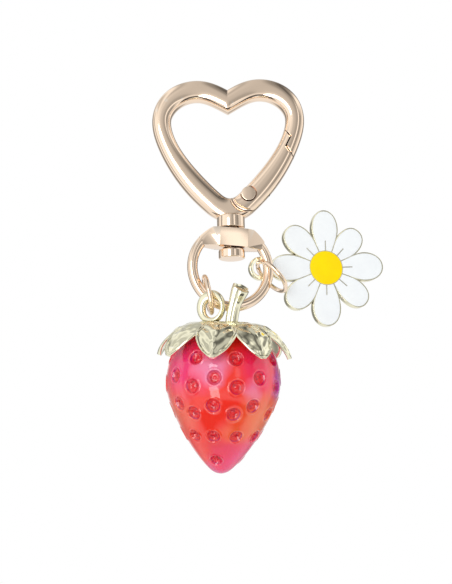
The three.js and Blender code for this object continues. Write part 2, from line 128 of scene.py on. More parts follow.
# Cap: hub with a crumpled top, sepals with folded facets along a drooping line, stem and hanging loop.
CAP = {"sepals": 8, "first": -10, "thickness": 0.95, "hub": 6.2, "hub_top": 0.05, "hub_bottom": -1.1}
HUB = {"edge": 0.45, "rim": 1.5, "flat": 4.0, "rounding": 0.3, "spacing": 0.15}
CRUMPLE = {"depth": 0.5, "scale": 1.7, "seed": 5.0, "most": 0.12, "below": 0.4}
SEPAL_LINE = ((2.0, -0.5), (7.2, -0.6), (10.0, -1.6), (12.1, -3.4), (13.6, -5.6), (14.3, -7.5))
SEPAL = {"root": 3.0, "swell": 1.3, "widest": 0.42, "taper": 0.6, "edge": 0.15, "droop": 0.038, "length": 15}
RELIEF = {"rib": 0.26, "rib_half": 0.35, "veins": 0.17, "creases": 0.12, "sunk": 0.52, "step": 0.4}
STEM = {
    "base": (1.35, -0.4, -0.5), "middle": (1.55, -0.4, 3.6), "tip": (3.2, -1.2, 7.5),
    "radius": 1.45, "flare": 2.1, "flute": 0.22, "flute_width": 18, "depth": 0.9, "slant": 0.4,
}
STEM_GROOVES = (35, 95, 157, 285)
# The stem's cut end, from its edge inwards: share of the edge's radius, and how far along the stem it lies.
STEM_END = ((0.95, 0.04), (0.88, 0.0), (0.8, -0.14), (0.5, -0.22), (0.2, -0.24))
LOOP = {
    "centre": (-3.1, 0.95, 3.2), "outer": (3.2, 3.7), "hole": (1.75, 2.0), "hole_at": (0.45, -0.45),
    "half_depth": 1.0, "turn": -20,
}

# Daisy, in a frame of its own at the flower's centre.
DAISY = {
    "place": (21.05, 8.25, -25.9), "turn": 16.5, "half": 0.75, "pocket": 0.45, "rim": 0.28, "rounding": 0.1,
}
DAISY_CUT = {"front": 1, "through": 5}
# Petals, clockwise from the top: angle up from the right, length and half width. All have a raised line but
# the seventh, the left one.
PETALS = (
    (90, 13.4, 3.15),
    (47, 12.1, 2.95),
    (4, 13.8, 3.35),
    (-40, 12.3, 3.05),
    (-91, 13.4, 3.35),
    (-135, 12.8, 3.15),
    (-178, 13.1, 3.1),
    (136, 12.6, 3.2),
)
VEINED_PETALS = PETALS[:6] + PETALS[7:]
PETAL_BASE = {"reach": 3.4, "line": 0.15, "pull": 1.8}
PETAL_SIDE = {"widest": 0.68, "inner_pull": 2.0, "outer_pull": 2.3, "tip": 0.62}
VEIN = {"start": 3.8, "end": 6.3, "half": 0.12, "proud": 0.03}
DISC = {"enamel": 3.85, "ring": 0.15, "ring_sunk": 0.03, "overlap": 0.1}
WEB = {"radius": 7.7, "sunk": 0.05, "rounding": 0.08}
EYELET = {"centre": (-15.45, -0.7), "outer": 2.65, "hole": 1.8, "rounding": 0.3}
# Enamel fills: how far they lie under the plate's front at the rim, how far they rise from there to the
# middle, and the shares of the outline at which the dome is worked out.
FILL_SUNK = 0.05
FILL_RISE = {"petal": 0.07, "centre": 0.09}
FILL_RINGS = (1.0, 0.985, 0.95, 0.88, 0.78, 0.64, 0.48, 0.3, 0.12)

# Camera: where it looks, how far off it stands, how far it looks up, its roll and its lens.
VIEW = {"target": (-1.48, 0, -32.5), "distance": 350, "up": 12, "roll": 1.5, "lens": 98.1}
FLOOR = {"height": -200, "half": 2500}

# Light tent, as (place, brightness): round the object from behind past its left, its front at a half and its
# right; then overhead, from left to right.
AROUND = (
    (0.0, 0.85), (0.05, 0.8), (0.09, 0.26), (0.16, 0.3), (0.2, 0.85), (0.24, 1.05), (0.26, 0.4), (0.285, 0.4),
    (0.3, 1.1), (0.41, 1.0), (0.465, 0.85), (0.5, 0.58), (0.535, 0.4), (0.56, 0.4), (0.575, 1.15),
    (0.588, 1.15), (0.603, 0.42), (0.675, 0.26), (0.69, 0.68), (0.75, 0.72), (0.78, 1.15), (0.83, 0.9),
    (0.86, 0.26), (0.93, 0.28), (0.96, 0.8), (1.0, 0.85),
)
ABOVE = (
    (0.0, 0.4), (0.08, 0.95), (0.18, 0.6), (0.3, 1.0), (0.39, 0.5), (0.44, 0.62), (0.52, 0.58), (0.6, 0.3),
    (0.68, 0.12), (0.76, 0.3), (0.86, 1.1), (1.0, 0.6),
)
# The tent's brightness from below, its dark card low in front, and the light that matt surfaces get.
BELOW = 0.9
DARK_CARD = {"low": -0.9, "high": -0.74, "soft": 0.05, "strength": 0.93, "grey": 0.03}
MATT_LIGHT = 0.97
# Tall window light: how far off, how far round from straight ahead and below level it stands, its size, and
# its power in watts.
WINDOW = {"distance": 600, "turn": -20, "drop": 14, "width": 190, "height": 760, "power": 1.5}

# Platings: colour, worn edges' colour, painted shade in crevices, least and most roughness, and ripple in
# metres.
ROSE_GOLD = {
    "colour": (1.0, 0.8, 0.62), "worn": (1.0, 0.9, 0.78), "deep": (0.2, 0.09, 0.045),
    "polish": (0.06, 0.12), "ripple": 2e-5,
}
PALE_GOLD = {
    "colour": (0.93, 0.89, 0.66), "worn": (1.0, 0.97, 0.86), "deep": (0.2, 0.15, 0.08),
    "polish": (0.05, 0.12), "ripple": 4e-5,
}
# How far from a surface its neighbours paint shade into the plating's crevices.
PAINTED_SHADE_REACH = 0.55
WHITE_ENAMEL = {"colour": (0.91, 0.94, 0.95), "shade": (0.88, 0.91, 0.93), "gloss": 0.5}
YELLOW_ENAMEL = {"colour": (1.0, 0.76, 0.0), "shade": (1.0, 0.7, 0.0), "gloss": 0.15}

# Cloudy colours in the fruit: where round it from straight ahead, height, reach, colour and strength.
RED = (1.0, 0.035, 0.018)
PINK = (1.0, 0.035, 0.2)
DEEP_PINK = (1.0, 0.03, 0.2)
CORAL = (1.0, 0.19, 0.1)
FRUIT_CLOUDS = (
    (0, -1.5, 9.5, (1.0, 0.015, 0.01), 0.9),
    (-50, -9.5, 9.0, PINK, 0.95),
    # Painted highlight: a pale pink glow on the upper front, where the window light shines.
    (-13, -10.5, 4.6, (0.97, 0.28, 0.5), 0.8),
    (38, -9.5, 6.5, (1.0, 0.02, 0.12), 0.85),
    # Painted highlight: a small pale pink streak on the right front.
    (30, -14.5, 2.8, (0.97, 0.24, 0.42), 0.8),
    (78, -12.5, 5.0, (0.5, 0.03, 0.42), 0.9),
    (-72, -19.5, 8.0, CORAL, 0.85),
    (50, -20.5, 8.5, (1.0, 0.2, 0.05), 0.9),
    (6, -27.5, 4.0, (0.8, 0.01, 0.025), 0.8),
    (62, -29.0, 7.5, DEEP_PINK, 0.95),
    (-20, -32.5, 3.6, (0.72, 0.03, 0.26), 0.8),
    (150, -11.0, 8.0, PINK, 0.9),
    (-150, -20.0, 8.0, CORAL, 0.8),
    (165, -24.0, 6.0, DEEP_PINK, 0.8),
)
# How far the clouds are stirred, in metres.
STIR = 0.009
# Seed pits: painted highlight patches on the lips, bowls with flecks in them, and painted shade on the walls,
# dark and in violet patches.
PIT_COLOURS = {
    "lip": (1.0, 0.5, 0.46),
    "bowl": (0.95, 0.01, 0.02),
    "fleck": (0.5, 0.0, 0.03),
    "painted_wall_shade": (0.6, 0.004, 0.03),
    "violet": (0.4, 0.01, 0.24),
}
ACRYLIC = {
    "IOR": 1.43,
    "Transmission Weight": 0.12,
    "Subsurface Weight": 0.4,
    "Subsurface Radius": (1.0, 0.25, 0.25),
    "Subsurface Scale": 0.0015,
    "Coat Weight": 0.7,
    "Coat Roughness": 0.03,
    "Coat IOR": 1.6,
    "Sheen Weight": 0.3,
    "Sheen Roughness": 0.4,
    "Sheen Tint": (1.0, 0.45, 0.5, 1),
}


# ---------- Nodes ----------


def feed(tree, node, inputs):
    """Links a node's inputs to other nodes' outputs, or sets them to plain values."""
    for key, value in inputs.items():
        if isinstance(value, bpy.types.NodeSocket):
            tree.links.new(value, node.inputs[key])
        else:
            node.inputs[key].default_value = value


def new_node(tree, kind, inputs, **settings):
    """The outputs of a new shader node."""
    node = tree.nodes.new("ShaderNode" + kind)
    for name, value in settings.items():
        setattr(node, name, value)
    feed(tree, node, inputs)
    return node.outputs


def math_node(tree, operation, *inputs):
    return new_node(tree, "Math", dict(enumerate(inputs)), operation=operation)[0]


def vector_node(tree, operation, *inputs):
    return new_node(tree, "VectorMath", dict(enumerate(inputs)), operation=operation)


def map_range(tree, value, low, high, to_low, to_high):
    ranges = {"Value": value, "From Min": low, "From Max": high, "To Min": to_low, "To Max": to_high}
    return new_node(tree, "MapRange", ranges)[0]


def mix_colour(tree, share, *colours):
    first, second = ((*colour, 1) if isinstance(colour, tuple) else colour for colour in colours)
    return new_node(tree, "Mix", {"Factor": share, "A": first, "B": second}, data_type="RGBA")["Result"]


def band(tree, value, low, high, soft):
    """One inside a range of the value, falling softly to nothing outside it."""
    rise = map_range(tree, value, low - soft, low, 0, 1)
    fall = map_range(tree, value, high, high + soft, 1, 0)
    return math_node(tree, "MULTIPLY", rise, fall)


def grey_ramp(tree, value, stops):
    """A brightness read from stops of position and brightness."""
    node = tree.nodes.new("ShaderNodeValToRGB")
    node.color_ramp.interpolation = "EASE"
    elements = node.color_ramp.elements
    while len(elements) > 1:
        elements.remove(elements[-1])
    for number, (position, grey) in enumerate(stops):
        element = elements[0] if number == 0 else elements.new(position)
        element.position = position
        element.color = (grey, grey, grey, 1)
    tree.links.new(value, node.inputs[0])
    return node.outputs[0]


def own_place(tree):
    """The piece's own coordinates, in metres."""
    return new_node(tree, "TexCoord", {})["Object"]


def noise_node(tree, scale, detail, stretch=(1, 1, 1), output="Fac"):
    """Noise over the piece's own coordinates; scale is in features per metre."""
    place = new_node(tree, "Mapping", {"Vector": own_place(tree), "Scale": stretch})[0]
    return new_node(tree, "TexNoise", {"Vector": place, "Scale": scale, "Detail": detail})[output]


def bump(tree, height, strength, distance):
    return new_node(tree, "Bump", {"Height": height, "Strength": strength, "Distance": distance})[0]


def new_material(name):
    material = bpy.data.materials.new(name)
    material.use_nodes = True
    tree = material.node_tree
    return material, tree, tree.nodes["Principled BSDF"]


# ---------- Camera, light and floor ----------


def place_camera():
    data = bpy.data.cameras.new("camera")
    camera = bpy.data.objects.new("camera", data)
    scene.collection.objects.link(camera)
    rise = radians(VIEW["up"])
    forward = Vector((0, cos(rise), sin(rise)))
    camera.location = (Vector(VIEW["target"]) - forward * VIEW["distance"]) * MM
    roll = Quaternion(forward, radians(VIEW["roll"]))
    camera.rotation_mode = "QUATERNION"
    camera.rotation_quaternion = roll @ forward.to_track_quat("-Z", "Y")
    data.lens = VIEW["lens"]
    data.sensor_width = 36
    data.clip_start = 0.01
    data.clip_end = 20
    scene.camera = camera


def light_tent(tree):
    """What reflections see: lights all round, overhead and below, and a dark card low in front."""
    across, away, up = new_node(tree, "SeparateXYZ", {0: new_node(tree, "TexCoord", {})["Generated"]})
    toward = math_node(tree, "MULTIPLY", away, -1)
    azimuth = math_node(tree, "ARCTAN2", across, toward)
    around = grey_ramp(tree, math_node(tree, "MULTIPLY_ADD", azimuth, 0.5 / pi, 0.5), AROUND)
    above = grey_ramp(tree, math_node(tree, "MULTIPLY_ADD", across, 0.5, 0.5), ABOVE)
    tent = mix_colour(tree, map_range(tree, up, 0.35, 0.6, 0, 1), around, above)
    tent = mix_colour(tree, map_range(tree, up, -0.3, -0.6, 0, 1), tent, (BELOW,) * 3)
    low = band(tree, up, DARK_CARD["low"], DARK_CARD["high"], DARK_CARD["soft"])
    front = map_range(tree, toward, 0.0, 0.15, 0, DARK_CARD["strength"])
    return mix_colour(tree, math_node(tree, "MULTIPLY", low, front), tent, (DARK_CARD["grey"],) * 3)


def studio_world():
    """White backdrop for the camera, even light for matt surfaces, and a light tent for reflections."""
    world = bpy.data.worlds.new("studio")
    scene.world = world
    world.use_nodes = True
    tree = world.node_tree
    tree.nodes.clear()
    path = new_node(tree, "LightPath", {})
    mirrored = math_node(tree, "MAXIMUM", path["Is Glossy Ray"], path["Is Transmission Ray"])
    seen = mix_colour(tree, path["Is Diffuse Ray"], (1, 1, 1), (MATT_LIGHT,) * 3)
    light = new_node(tree, "Background", {"Color": mix_colour(tree, mirrored, seen, light_tent(tree))})[0]
    new_node(tree, "OutputWorld", {"Surface": light})
    world.cycles.sampling_method = "NONE"


def window_light():
    data = bpy.data.lights.new("window", "AREA")
    window = bpy.data.objects.new("window", data)
    scene.collection.objects.link(window)
    data.shape = "RECTANGLE"
    data.size = WINDOW["width"] * MM
    data.size_y = WINDOW["height"] * MM
    data.energy = WINDOW["power"]
    turn, drop = radians(WINDOW["turn"]), radians(WINDOW["drop"])
    outward = Vector((sin(turn) * cos(drop), -cos(turn) * cos(drop), -sin(drop)))
    window.location = (Vector(VIEW["target"]) + outward * WINDOW["distance"]) * MM
    window.rotation_mode = "QUATERNION"
    window.rotation_quaternion = (-outward).to_track_quat("-Z", "Y")
    window.visible_camera = False


def pale_floor():
    half, height = FLOOR["half"], FLOOR["height"]
    corners = [(-half, -half, height), (half, -half, height), (half, half, height), (-half, half, height)]
    mesh = bpy.data.meshes.new("floor")
    mesh.from_pydata([Vector(corner) * MM for corner in corners], [], [(0, 1, 2, 3)])
    floor = bpy.data.objects.new("floor", mesh)
    scene.collection.objects.link(floor)
    paint, tree, shader = new_material("pale_floor")
    feed(tree, shader, {"Base Color": (0.86, 0.86, 0.86, 1), "Roughness": 0.9})
    mesh.materials.append(paint)
    floor.visible_glossy = False
    floor.visible_transmission = False


# ---------- Shape helpers ----------


def smoothstep(value, low, high):
    share = min(1.0, max(0.0, (value - low) / (high - low)))
    return share * share * (3 - 2 * share)


def bezier(points, t):
    """Point and direction of a cubic curve at t."""
    a, b, c, d = (Vector(point) for point in points)
    s = 1 - t
    place = a * s**3 + b * (3 * s * s * t) + c * (3 * s * t * t) + d * t**3
    pull = (b - a) * (s * s) + (c - b) * (2 * s * t) + (d - c) * (t * t)
    return place, pull.normalized()


def chain(start, stretches, steps):
    """Points and directions along cubic stretches that follow on from each other."""
    stations = []
    for number, (first, second, end) in enumerate(stretches):
        for i in range(0 if number == 0 else 1, steps + 1):
            stations.append(bezier((start, first, second, end), i / steps))
        start = end
    return stations


def soften(profile, radius, steps=4):
    """A profile with each inner corner rounded, by at most a third of the shorter side beside it."""
    points = [Vector(point) for point in profile]
    softened = [points[0]]
    for before, corner, after in zip(points, points[1:], points[2:]):
        back, ahead = before - corner, after - corner
        reach = min(radius, back.length / 3, ahead.length / 3)
        start = corner + back.normalized() * reach
        end = corner + ahead.normalized() * reach
        for i in range(steps + 1):
            t = i / steps
            softened.append(start * (1 - t) ** 2 + corner * (2 * t * (1 - t)) + end * t * t)
    softened.append(points[-1])
    return softened


def solid(vertices, faces, merge=True):
    """A closed mesh object with its faces turned outwards and, if asked, its doubled points merged."""
    mesh = bpy.data.meshes.new("solid")
    mesh.from_pydata(vertices, [], faces)
    work = bmesh.new()
    work.from_mesh(mesh)
    if merge:
        bmesh.ops.remove_doubles(work, verts=work.verts, dist=1e-4)
    bmesh.ops.recalc_face_normals(work, faces=work.faces)
    work.to_mesh(mesh)
    work.free()
    piece = bpy.data.objects.new("solid", mesh)
    scene.collection.objects.link(piece)
    return piece


def full_turn(count):
    """Angles spread evenly round a full turn."""
    return [2 * pi * i / count for i in range(count)]


def rotation(angle, axis):
    return Matrix.Rotation(radians(angle), 4, axis)


def strips(rows, count, closed=False):
    """Faces between each ring of points and the next; closed also joins the last ring to the first."""
    faces = []
    for row in range(rows if closed else rows - 1):
        a = row * count
        b = ((row + 1) % rows) * count
        faces += [(a + i, a + (i + 1) % count, b + (i + 1) % count, b + i) for i in range(count)]
    return faces


def skin(rings, closed=False):
    """A solid from equal rings of points, with its two ends capped unless it is closed."""
    count = len(rings[0])
    rows = len(rings)
    faces = strips(rows, count, closed)
    if not closed:
        faces.append(tuple(range(count)))
        faces.append(tuple((rows - 1) * count + i for i in range(count)))
    return solid([point for ring in rings for point in ring], faces)


def slab(outline, front, back):
    """A flat outline in X and Z, given thickness along Y."""
    return skin([[(x, y, z) for x, z in outline] for y in (front, back)])


def circle(x, z, radius, count):
    return [(x + radius * cos(a), z + radius * sin(a)) for a in full_turn(count)]


def turned(profile, segments=96):
    """A round solid about Z from a profile of radius and height pairs that starts and ends on the axis."""
    angles = full_turn(segments)
    points = [(radius * cos(a), radius * sin(a), z) for radius, z in profile for a in angles]
    return solid(points, strips(len(profile), segments))


def bake(piece):
    """Makes the modifiers' result the piece's own mesh."""
    graph = bpy.context.evaluated_depsgraph_get()
    finished = bpy.data.meshes.new_from_object(piece.evaluated_get(graph))
    piece.modifiers.clear()
    piece.data = finished
    return piece


def combine(piece, tool, operation):
    modifier = piece.modifiers.new("combine", "BOOLEAN")
    modifier.operation = operation
    modifier.solver = "MANIFOLD"
    modifier.object = tool
    bake(piece)
    bpy.data.objects.remove(tool)
    return piece


def join(piece, *others):
    for other in others:
        combine(piece, other, "UNION")
    return piece


def cut(piece, *others):
    for other in others:
        combine(piece, other, "DIFFERENCE")
    return piece


def common(piece, other):
    return combine(piece, other, "INTERSECT")


def copy_of(piece):
    twin = piece.copy()
    twin.data = piece.data.copy()
    scene.collection.objects.link(twin)
    return twin


def move(piece, matrix):
    piece.data.transform(matrix)
    return piece


def tube(points, directions, side, radius, sides, closed=False):
    """A round wire along points; side is a vector that never runs along the wire."""
    rings = []
    for point, direction in zip(points, directions):
        across = direction.cross(side).normalized()
        beside = across.cross(direction).normalized()
        ring = []
        for angle in full_turn(sides):
            ring.append(point + (across * cos(angle) + beside * sin(angle)) * radius)
        rings.append(ring)
    return skin(rings, closed)


def hang(piece, name, body, finish, nodes, place=None, crease=40):
    """Scales a finished piece to metres and puts it on its body in place of its CAD nodes."""
    if place is not None:
        piece.data.transform(place)
    piece.data.transform(Matrix.Scale(MM, 4))
    piece.name = name
    piece.data.materials.clear()
    piece.data.materials.append(finish)
    piece.data.polygons.foreach_set("use_smooth", [True] * len(piece.data.polygons))
    piece.data.set_sharp_from_angle(angle=radians(crease))
    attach(piece, body)
    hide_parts(*nodes)
    return piece


# ---------- Materials ----------


def plated_metal(name, colour, worn, deep, polish, ripple):
    """Polished plating: cloudy polish, fine rubbing marks, paler worn edges, painted shade in crevices and a
    ripple.
    """
    material, tree, shader = new_material(name)
    edges = new_node(tree, "NewGeometry", {})["Pointiness"]
    plating = mix_colour(tree, map_range(tree, edges, 0.53, 0.6, 0, 0.6), colour, worn)
    # Painted shade: ambient occlusion darkens the plating to the deep colour in crevices and gaps.
    open_air = new_node(tree, "AmbientOcclusion", {"Distance": PAINTED_SHADE_REACH * MM}, samples=16)["AO"]
    shade = map_range(tree, open_air, 0.25, 0.8, 1, 0)
    cloudy = map_range(tree, noise_node(tree, 350, 4), 0.3, 0.75, *polish)
    rubbed = map_range(tree, noise_node(tree, 1, 2, (9000, 9000, 500)), 0.45, 0.8, 0, 0.04)
    feed(tree, shader, {
        "Metallic": 1,
        "Base Color": mix_colour(tree, shade, plating, deep),
        "Roughness": math_node(tree, "ADD", cloudy, rubbed),
        "Normal": bump(tree, noise_node(tree, 260, 2), 0.35, ripple),
    })
    return material


def wire_steel():
    """Drawn steel wire, with fine marks along it."""
    material, tree, shader = new_material("spring_steel")
    drawn = noise_node(tree, 1, 3, (6000, 6000, 300))
    feed(tree, shader, {
        "Metallic": 1,
        "Base Color": mix_colour(tree, drawn, (0.5, 0.51, 0.53), (0.74, 0.75, 0.77)),
        "Roughness": map_range(tree, drawn, 0.3, 0.7, 0.2, 0.42),
        "Normal": bump(tree, drawn, 0.3, 2e-5),
    })
    return material


def enamel(name, colour, shade, gloss):
    """Glossy enamel with a faintly uneven fired surface."""
    material, tree, shader = new_material(name)
    cloud = noise_node(tree, 300, 3)
    feed(tree, shader, {
        "Base Color": mix_colour(tree, map_range(tree, cloud, 0.35, 0.7, 0, 1), colour, shade),
        "Roughness": map_range(tree, cloud, 0.3, 0.7, 0.12, 0.22),
        "Specular IOR Level": gloss,
        "Normal": bump(tree, noise_node(tree, 450, 2), 0.2, 1.5e-5),
    })
    return material


def stirred_place(tree):
    """The piece's own coordinates, stirred so that the clouds in it have uneven edges."""
    swirl = noise_node(tree, 130, 2, output="Color")
    drift = vector_node(tree, "MULTIPLY_ADD", swirl, (STIR,) * 3, own_place(tree))["Vector"]
    return vector_node(tree, "SUBTRACT", drift, (STIR / 2,) * 3)["Vector"]


def distance_from(tree, place, azimuth, height):
    """How far a place lies from the fruit's skin at an azimuth from straight ahead and a height."""
    turn = radians(azimuth)
    radius = berry_radius(height)
    centre = berry_place() @ Vector((radius * sin(turn), -radius * cos(turn), height))
    return vector_node(tree, "DISTANCE", place, centre * MM)["Value"]


def cloudy_red(tree):
    """The fruit's red with its pink, coral, orange and violet clouds, and pale pink clouds that paint
    highlights.
    """
    place = stirred_place(tree)
    colour = RED
    for azimuth, height, reach, tint, strength in FRUIT_CLOUDS:
        away = distance_from(tree, place, azimuth, height)
        share = map_range(tree, away, 0.35 * reach * MM, reach * MM, strength, 0)
        colour = mix_colour(tree, share, colour, tint)
    return colour


def pit_shades(tree, colour):
    """The colour with painted highlight patches on the pits' lips, deep bowls with flecks, and painted shade,
    dark and violet, on their walls.
    """
    pit = new_node(tree, "Attribute", {}, attribute_name="pit")["Fac"]
    patches = map_range(tree, noise_node(tree, 420, 1), 0.45, 0.65, 0, 0.5)
    flecks = map_range(tree, noise_node(tree, 1300, 1), 0.48, 0.6, 0, 0.75)
    # Painted highlight: pale patches on the pits' raised lips.
    lip = map_range(tree, pit, -0.2, -0.45, 0, 0.6)
    bowl = map_range(tree, pit, 0.3, 0.8, 0, 0.9)
    # Painted shade: the pits' walls darkened, in places with violet.
    painted_wall_shade = band(tree, pit, 0.06, 0.4, 0.05)
    shades = (
        (lip, patches, "lip"),
        (bowl, 1, "bowl"),
        (bowl, flecks, "fleck"),
        (painted_wall_shade, 0.55, "painted_wall_shade"),
        (painted_wall_shade, patches, "violet"),
    )
    for region, strength, name in shades:
        colour = mix_colour(tree, math_node(tree, "MULTIPLY", region, strength), colour, PIT_COLOURS[name])
    return colour


def berry_acrylic():
    """Translucent acrylic in cloudy reds, pinks and corals with painted highlights, deeper in the pits'
    bowls, with painted highlights on their lips and painted shade on their walls.
    """
    material, tree, shader = new_material("berry_acrylic")
    polish = map_range(tree, noise_node(tree, 160, 2), 0.3, 0.7, 0.03, 0.08)
    feed(tree, shader, {"Base Color": pit_shades(tree, cloudy_red(tree)), "Roughness": polish, **ACRYLIC})
    return material


# ---------- Heart clasp ----------


def bar_half(z):
    lobe = (BAR["lobe"] - BAR["side"]) * smoothstep(z, 7, 13)
    point = (BAR["point"] - BAR["side"]) * (1 - smoothstep(z, -10, 3))
    return BAR["side"] + lobe + point


def bulge(value):
    return copysign(abs(value) ** (2 / BAR["roundness"]), value)


def bar_ring(centre, direction, sides=64):
    """The bar's section: a rounded oval, wide in the heart's plane."""
    half = bar_half(centre.y)
    ring = []
    for i in range(sides):
        angle = 2 * pi * (i + 0.5) / sides
        across = half * bulge(cos(angle))
        x = centre.x - direction.y * across
        z = centre.y + direction.x * across
        ring.append(Vector((x, BAR["depth"] * bulge(sin(angle)), z)))
    return ring


def trimmed(line):
    """A line of points with what lies left of the middle plane pulled in to where it crosses the plane."""
    inside = [i for i, point in enumerate(line) if point.x > 0]
    first, last = inside[0], inside[-1]
    start = line[first - 1].lerp(line[first], -line[first - 1].x / (line[first].x - line[first - 1].x))
    end = line[last].lerp(line[last + 1], line[last].x / (line[last].x - line[last + 1].x))
    return [start] * first + line[first:last + 1] + [end] * (len(line) - last - 1)


def heart_bar():
    """The whole heart: the right half, ending on the middle plane, and its mirror image."""
    across, fall = RUN_ON["across"], RUN_ON["fall"]
    slope = Vector((across, fall)).normalized()
    before = (Vector((-across, CLEFT[1] - fall)), slope)
    after = (Vector((-across, HEART_STRETCHES[-1][-1][1])), Vector((-1, 0)))
    stations = [before, (Vector(CLEFT), slope), *chain(CLEFT, HEART_STRETCHES, 44)[1:], after]
    rings = [bar_ring(centre, direction) for centre, direction in stations]
    lines = [trimmed([ring[i] for ring in rings]) for i in range(len(rings[0]))]
    half = [[line[row] for line in lines] for row in range(len(rings))]
    other = [[Vector((-p.x, p.y, p.z)) for p in ring] for ring in half[::-1]]
    return skin(half + other, closed=True)


def flared(outline, edge):
    """A prism through the heart's depth whose outline moves to another one at the front and back faces."""
    deep = BAR["depth"] - SEAM_BEVEL
    face = BAR["depth"] + 2 * HAIR
    sections = ((-face, edge), (-deep, outline), (deep, outline), (face, edge))
    return skin([[(x, y, z) for x, z in section] for y, section in sections])


def gate_outline(grow):
    """The gate's outline, with its stepped seam moved along SEAM_WAY by an amount."""
    x, z = RIVET_CENTRE
    root_x, root_z = GATE_ROOT
    seam = [(sx + grow * SEAM_WAY[0], sz + grow * SEAM_WAY[1]) for sx, sz in SEAM]
    return [
        (seam[0][0] + GATE["inner"][0], seam[0][1] + GATE["inner"][1]),
        *seam,
        (seam[-1][0] + GATE["outer"][0], seam[-1][1] + GATE["outer"][1]),
        GATE["outside"],
        (x + root_x, z + root_z),
        (x, z),
        (x - root_x, z - root_z),
        GATE["inside"],
    ]


def gate_space(grow):
    """The space that the gate takes out of the heart, grown all round by a gap and more at the two faces."""
    flare = copysign(SEAM_BEVEL, grow)
    radius = KNUCKLE["radius"] + grow
    end = flared(circle(*RIVET_CENTRE, radius, 128), circle(*RIVET_CENTRE, radius + flare, 128))
    return join(flared(gate_outline(grow), gate_outline(grow + flare)), end)


def hinge_disc(radius, half):
    return slab(circle(*RIVET_CENTRE, radius, 128), -half, half)


def hinge_groove():
    """The rounded groove between the knuckle and the frame, at the front and at the back."""
    x, z = RIVET_CENTRE
    grooves = []
    for side in (-1, 1):
        face = Vector((x, side * (BAR["depth"] + GROOVE["proud"]), z))
        rings = []
        for i in range(49):
            angle = radians(GROOVE["start"] + GROOVE["sweep"] * i / 48)
            outward = Vector((cos(angle), 0, sin(angle)))
            centre = face + outward * (KNUCKLE["radius"] + GROOVE["out"])
            ring = []
            for a in full_turn(32):
                deep = Vector((0, GROOVE["depth"] * sin(a), 0))
                ring.append(centre + outward * (GROOVE["width"] * cos(a)) + deep)
            rings.append(ring)
        grooves.append(skin(rings))
    return grooves


def rod_profile(radius, bottom, top):
    return [(0, bottom), (radius, bottom), (radius, top), (0, top)]


def rod(radius, bottom, top):
    return turned(rod_profile(radius, bottom, top), 64)


def collar_solid():
    profile = rod_profile(COLLAR["radius"], COLLAR["bottom"], COLLAR["top"])
    return turned(soften(profile, COLLAR["rounding"]))


def heart_frame(bar):
    tongue = common(copy_of(bar), hinge_disc(KNUCKLE["tongue"], KNUCKLE["tongue_half"]))
    piece = cut(copy_of(bar), gate_space(CLEARANCE), *hinge_groove())
    join(piece, tongue, collar_solid())
    rivet_hole = hinge_disc(RIVET["shank"] + CLEARANCE, RIVET["hole_half"])
    hole_bottom = STUD["top"] - STUD_HOLE_LENGTH
    stud_hole = rod(STUD["shank"] + CLEARANCE, hole_bottom, STUD["top"] + CLEARANCE)
    return cut(piece, stud_hole, rivet_hole)


def at_rivet():
    return Matrix.Translation((RIVET_CENTRE[0], 0, RIVET_CENTRE[1]))


def along_gate():
    """Turns a shape made along Z so that it runs from the rivet up the inside of the gate."""
    return at_rivet() @ rotation(90 - SPRING["angle"], "Y")


def gate_arm(bar):
    piece = common(copy_of(bar), gate_space(-CLEARANCE))
    slot = hinge_disc(KNUCKLE["slot"], KNUCKLE["slot_half"])
    rivet_hole = hinge_disc(RIVET["shank"] + CLEARANCE, RIVET["hole_half"])
    floor, top = RIVET_SEAT["floor"], RIVET_SEAT["top"]
    seats = []
    for near, far in ((-top, -floor), (floor, top)):
        seats.append(slab(circle(*RIVET_CENTRE, RIVET_SEAT["radius"], 96), near, far))
    bore = move(rod(SPRING_BORE["radius"], SPRING_BORE["start"], SPRING_BORE["end"]), along_gate())
    return cut(piece, *hinge_groove(), slot, rivet_hole, *seats, bore)


def rivet_pin():
    shank, head, under, top = (RIVET[key] for key in ("shank", "head", "under", "top"))
    profile = [
        (0, -top), (head, -top), (head, -under), (shank, -under),
        (shank, under), (head, under), (head, top), (0, top),
    ]
    pin = turned(soften(profile, RIVET["rounding"], 3), 64)
    return move(pin, at_rivet() @ rotation(90, "X"))


def spring_coil():
    """The little push spring in the gate, with its helix made by a loop."""
    steps = SPRING["turns"] * 32
    start = SPRING["start"] + SPRING["wire"]
    end = SPRING["end"] - SPRING["wire"]
    points = []
    for i in range(steps + 1):
        angle = 2 * pi * SPRING["turns"] * i / steps
        height = start + (end - start) * i / steps
        points.append(Vector((SPRING["coil"] * cos(angle), SPRING["coil"] * sin(angle), height)))
    directions = [(b - a).normalized() for a, b in zip(points, points[1:])]
    directions.append(directions[-1])
    return move(tube(points, directions, Vector((0, 0, 1)), SPRING["wire"], 12), along_gate())


# ---------- Swivel ----------


def stud_pin():
    shank, head, top, head_top, bottom = (STUD[key] for key in ("shank", "head", "top", "head_top", "bottom"))
    profile = [(0, bottom), (head, bottom), (head, head_top), (shank, head_top), (shank, top), (0, top)]
    return turned(soften(profile, STUD_ROUNDING, 6))


def swivel_place():
    """Tilts the ring about the bridge's middle and turns it on the stud."""
    pivot = Vector((0, 0, (BRIDGE["top"] + BRIDGE["bottom"]) / 2))
    about_pivot = Matrix.Translation(pivot) @ rotation(RING["tilt"], "Y") @ Matrix.Translation(-pivot)
    return rotation(RING["spin"], "Z") @ about_pivot


